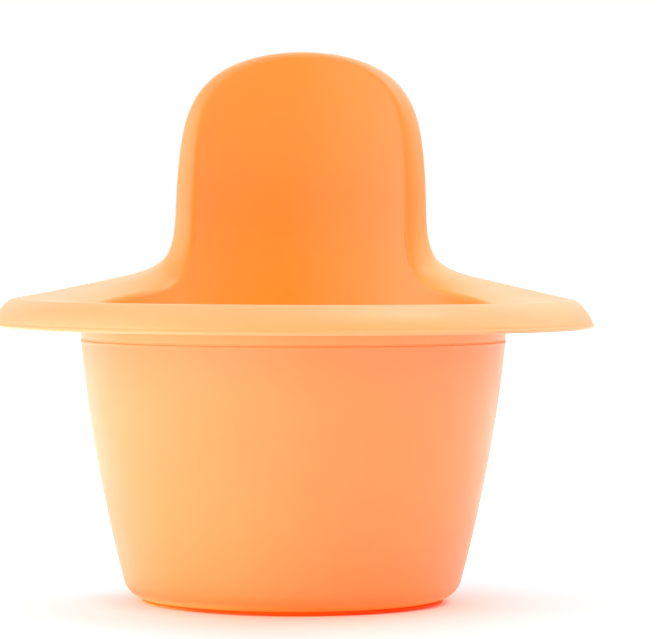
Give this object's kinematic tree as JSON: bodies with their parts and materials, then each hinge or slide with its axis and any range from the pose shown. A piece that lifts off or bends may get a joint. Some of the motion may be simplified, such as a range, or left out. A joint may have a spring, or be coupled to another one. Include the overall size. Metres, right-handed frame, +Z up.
{
  "type": "suction bowl",
  "caption": "Deep round bowl on a soft suction foot, with a wide lift-off brim that rises at the back into an upright splash guard.",
  "frame": {"origin": "centre of the foot on the table plane, on the bowl's axis", "axes": "+Z up along the bowl's axis, +Y towards the splash guard at the back, -Y towards the front of the brim"},
  "size_m": [0.24, 0.2404, 0.2242],
  "materials": {
    "bowl_plastic": "satin, slightly translucent moulded plastic, peach orange",
    "guard_plastic": "satin, slightly translucent moulded plastic, orange",
    "seal_rubber": "matt soft ring, darker orange",
    "pad_rubber": "matt soft silicone, deep red-orange",
    "plug_plastic": "satin moulded plastic, orange"
  },
  "bodies": {
    "bowl": {"bowl_shell": "bowl_plastic", "pad_plug": "plug_plastic"},
    "seal": {"rim_seal": "seal_rubber"},
    "guard": {"guard_rim": "guard_plastic"},
    "pad": {"suction_pad": "pad_rubber"},
    "tab": {"release_tab": "pad_rubber"}
  },
  "joints": [
    {"name": "guard_turn", "type": "hinge", "parent": "bowl", "child": "seal", "pos_m": [0, 0, 0.1045], "axis": [0, 0, 1], "continuous": true},
    {"name": "guard_lift", "type": "slide", "parent": "seal", "child": "guard", "axis": [0, 0, 1], "range_m": [0, 0.06]},
    {"name": "pad_press", "type": "slide", "parent": "bowl", "child": "pad", "axis": [0, 0, 1], "range_m": [0, 0.00035], "stiffness_N_per_m": 15000},
    {"name": "tab_flex", "type": "hinge", "parent": "pad", "child": "tab", "pos_m": [0, 0.062, 0.0008], "axis": [1, 0, 0], "range_deg": [0, 30], "stiffness_Nm_per_rad": 0.01}
  ]
}
